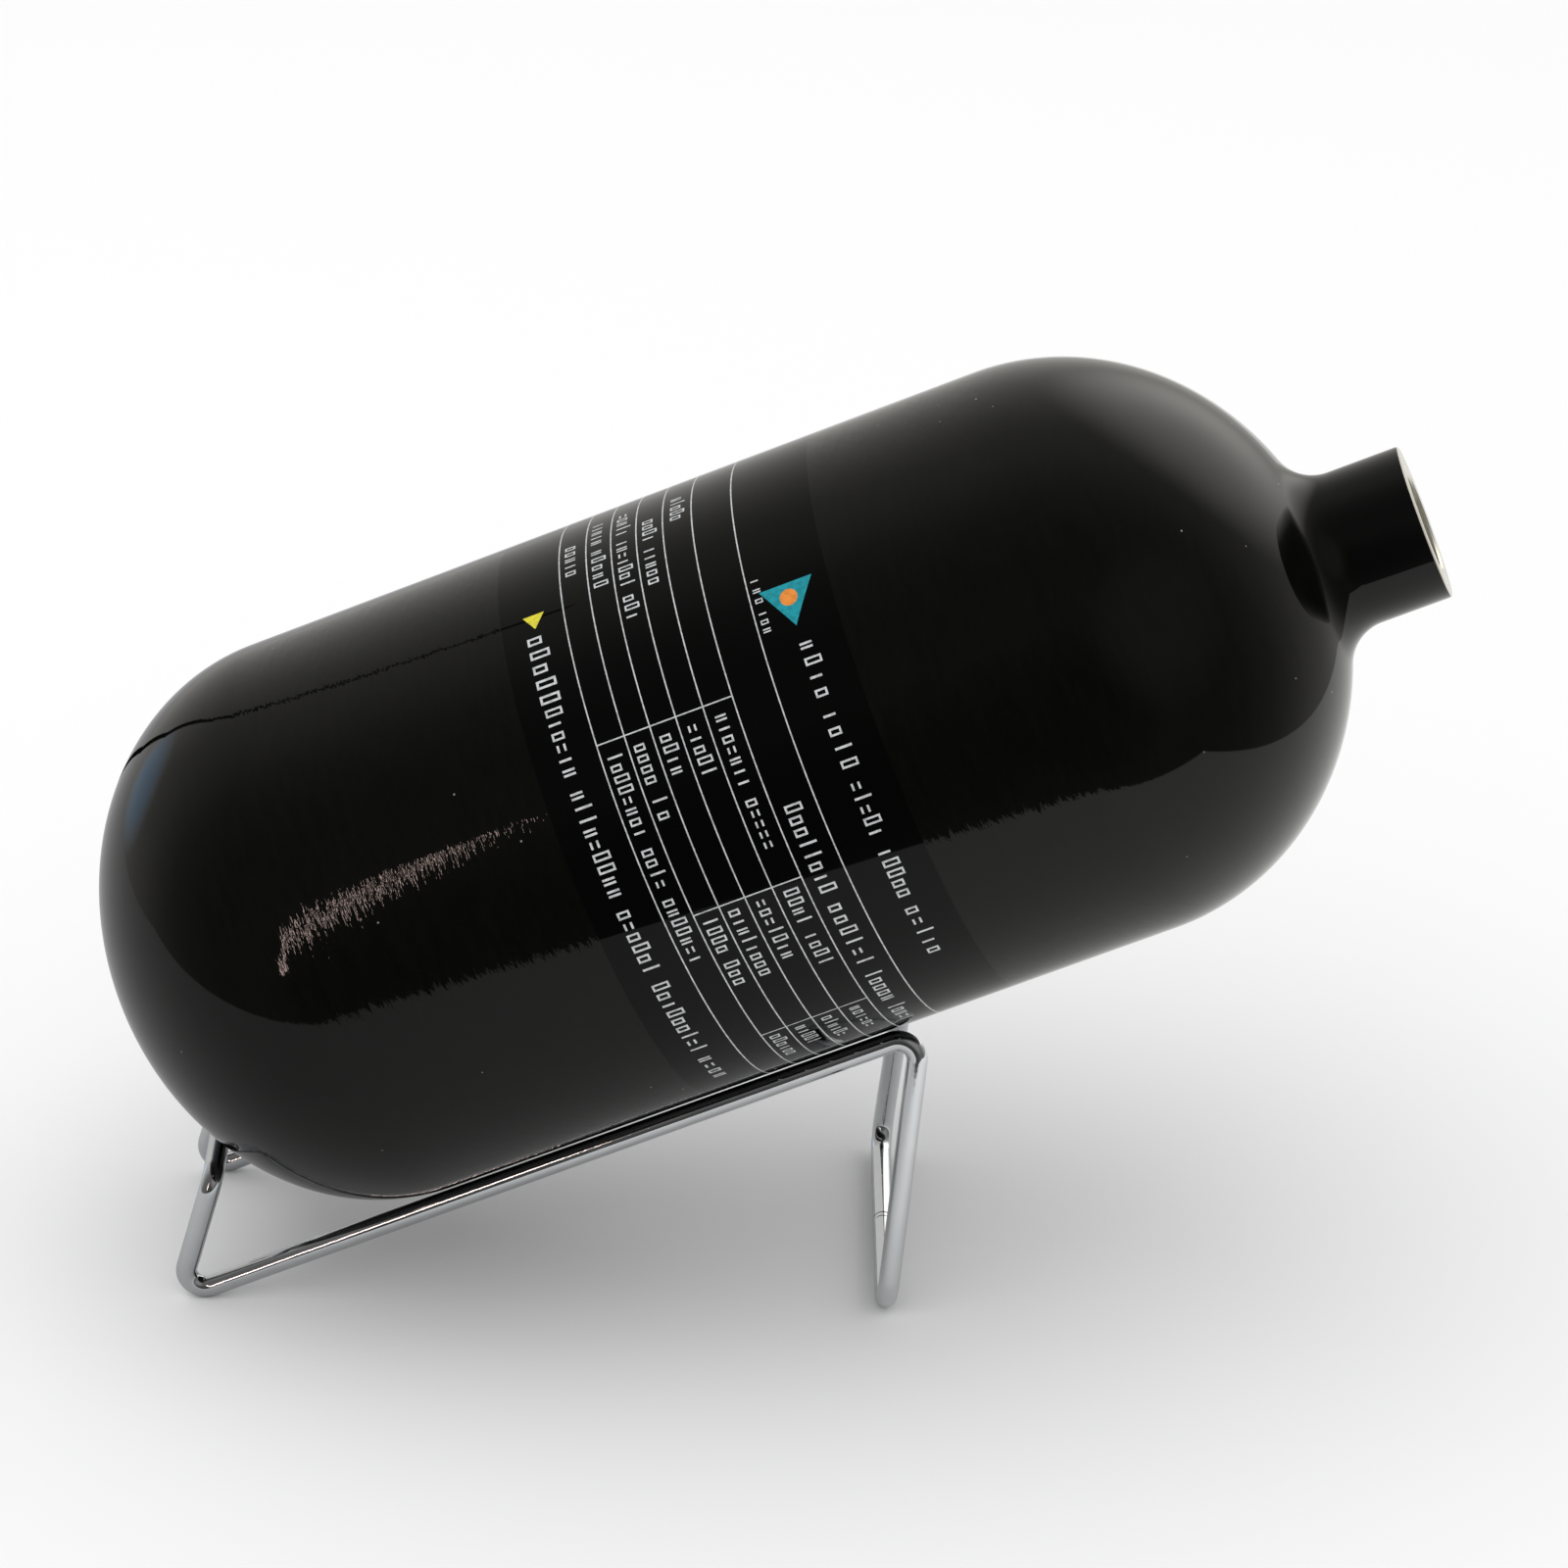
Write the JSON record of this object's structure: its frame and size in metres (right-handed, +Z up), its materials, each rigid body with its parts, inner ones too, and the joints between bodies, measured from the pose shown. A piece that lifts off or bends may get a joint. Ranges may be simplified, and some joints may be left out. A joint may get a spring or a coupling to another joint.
{
  "type": "breathing-air cylinder on stand",
  "caption": "Small carbon-wound breathing-air cylinder with a plain threaded neck, lying neck-up on a bent chromed wire stand it lifts off.",
  "frame": {"origin": "on the floor, under the middle of the whole object's box", "axes": "+Z up, +X towards the raised neck end, +Y to the left of the cylinder as seen from its base end"},
  "size_m": [0.3016, 0.131, 0.2146],
  "materials": {
    "liner_aluminium": "bare spun alloy, satin",
    "neck_aluminium": "machined alloy, black lacquered outside, bare at its end face and bore",
    "barrier_resin": "cured glass and resin, dull",
    "carbon_hoop": "carbon fibre in epoxy, wound round",
    "carbon_helical": "carbon fibre in epoxy, wound at an angle",
    "black_lacquered_wrap": "black lacquer over glass fibre in epoxy, high gloss",
    "printed_label_film": "thin black printed film under clear resin, gloss",
    "chromed_wire": "bright chromed steel wire",
    "chromed_weld": "ground flush and chromed"
  },
  "bodies": {
    "stand": {"stand_wire": "chromed_wire", "butt_weld": "chromed_weld"},
    "cylinder": {"liner_vessel": "liner_aluminium", "liner_neck": "neck_aluminium", "galvanic_barrier": "barrier_resin", "carbon_hoop_wrap": "carbon_hoop", "carbon_helical_wrap": "carbon_helical", "glass_outer_wrap": "black_lacquered_wrap", "label_film": "printed_label_film"}
  },
  "joints": [
    {"name": "cylinder_lift", "type": "slide", "parent": "stand", "child": "cylinder", "axis": [0, 0, 1], "range_m": [0, 0.12]}
  ]
}
